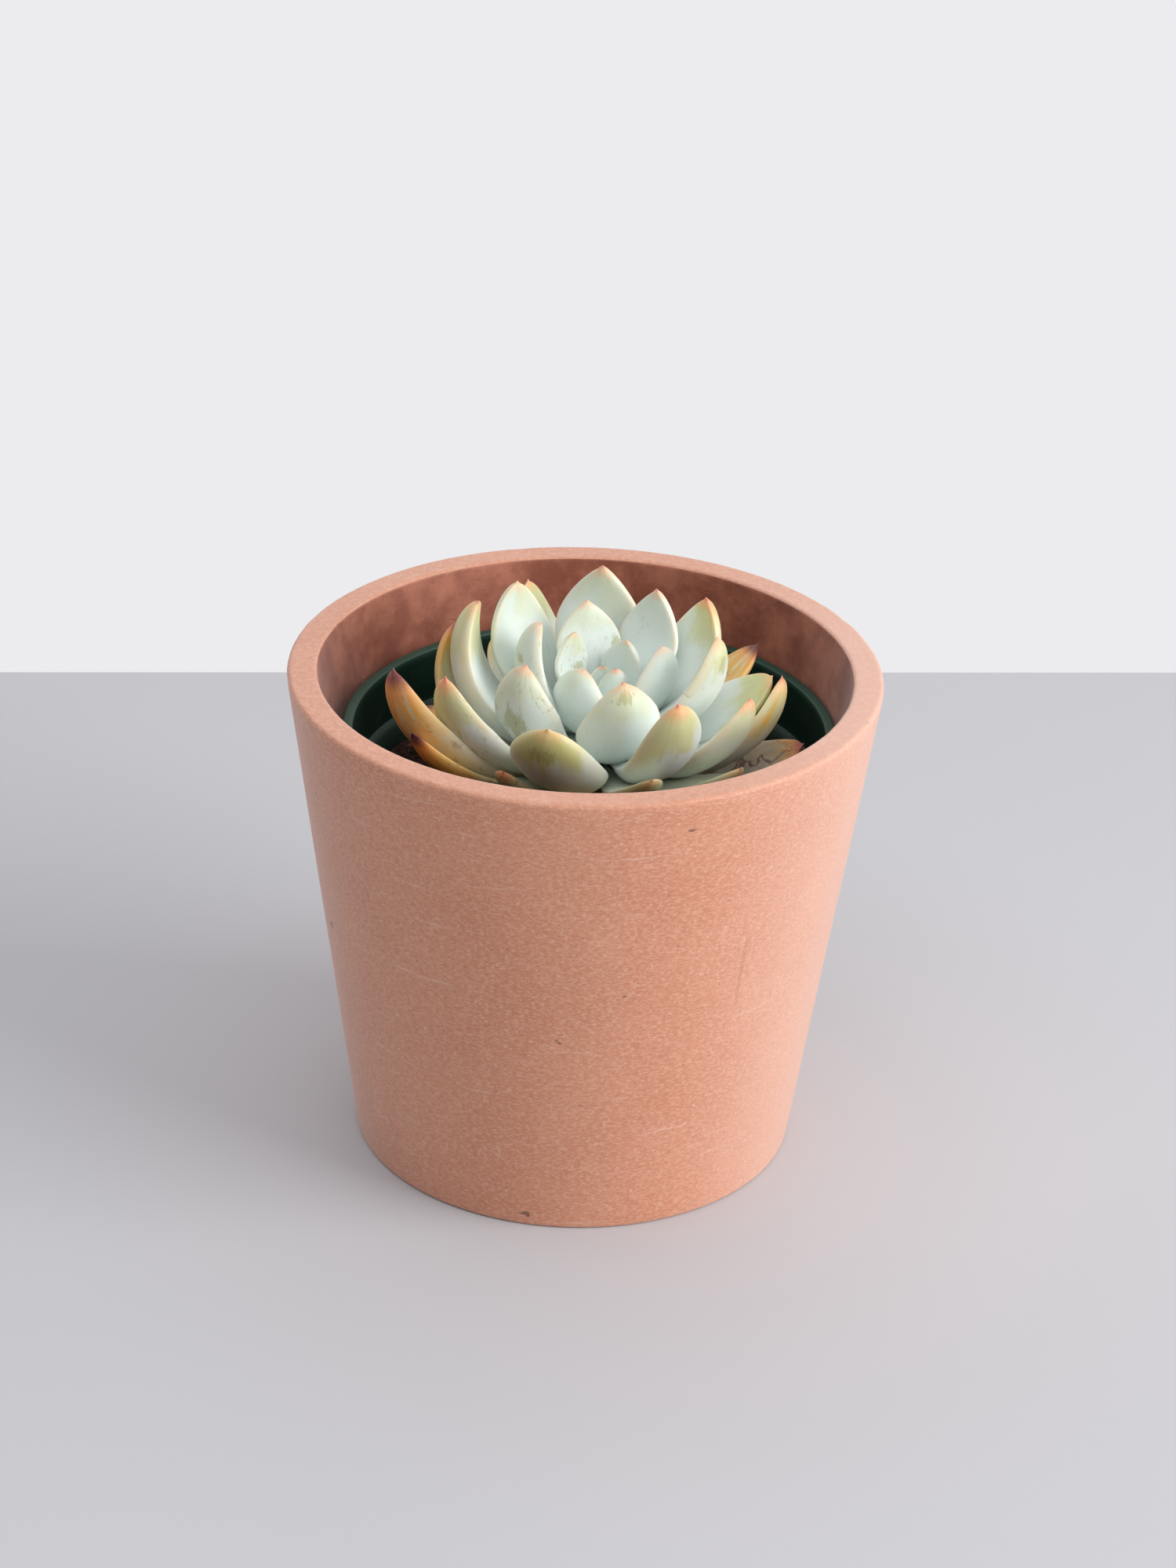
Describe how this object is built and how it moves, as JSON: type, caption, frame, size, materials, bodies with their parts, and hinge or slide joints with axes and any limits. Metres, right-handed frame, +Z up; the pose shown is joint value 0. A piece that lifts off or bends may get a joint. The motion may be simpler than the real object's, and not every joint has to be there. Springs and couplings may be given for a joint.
{
  "type": "potted succulent",
  "caption": "Rosette succulent with fleshy pointed leaves, in a thin nursery pot that stands inside a plain tapered clay planter.",
  "frame": {"origin": "centre of the planter's foot, on the surface it stands on", "axes": "+Z up along the planter's axis, the direction that the picture's camera looks is +Y"},
  "size_m": [0.15, 0.15, 0.1482],
  "materials": {
    "clay": "unglazed fired clay, fine-grained, pinkish orange",
    "nursery_plastic": "thin dark green moulded plastic, satin",
    "soil": "dry brown potting mix with small stones",
    "stem": "pale green-brown stem",
    "young_leaf": "waxy mint green leaf with cream margins and a salmon tip",
    "mature_leaf": "waxy yellow-green leaf with a crimson tip",
    "old_leaf": "amber ageing leaf with a dark purple tip"
  },
  "bodies": {
    "root": {"planter": "clay", "nursery_pot": "nursery_plastic", "soil": "soil", "stem": "stem", "leaf_01": "young_leaf", "leaf_02": "young_leaf", "leaf_03": "young_leaf", "leaf_04": "young_leaf", "leaf_05": "young_leaf", "leaf_06": "young_leaf", "leaf_07": "young_leaf", "leaf_08": "young_leaf", "leaf_09": "young_leaf", "leaf_10": "young_leaf", "leaf_11": "young_leaf", "leaf_12": "young_leaf", "leaf_13": "young_leaf", "leaf_14": "young_leaf", "leaf_15": "young_leaf", "leaf_16": "young_leaf", "leaf_17": "young_leaf", "leaf_18": "young_leaf", "leaf_19": "young_leaf", "leaf_20": "young_leaf", "leaf_21": "young_leaf", "leaf_22": "young_leaf", "leaf_23": "mature_leaf", "leaf_24": "mature_leaf", "leaf_25": "mature_leaf", "leaf_26": "mature_leaf", "leaf_27": "mature_leaf", "leaf_28": "mature_leaf", "leaf_29": "mature_leaf", "leaf_30": "mature_leaf", "leaf_31": "old_leaf", "leaf_32": "old_leaf", "leaf_33": "old_leaf", "leaf_34": "old_leaf", "leaf_35": "old_leaf", "leaf_36": "old_leaf", "leaf_37": "old_leaf", "leaf_38": "old_leaf", "leaf_39": "old_leaf", "leaf_40": "old_leaf", "leaf_41": "old_leaf"}
  },
  "joints": []
}
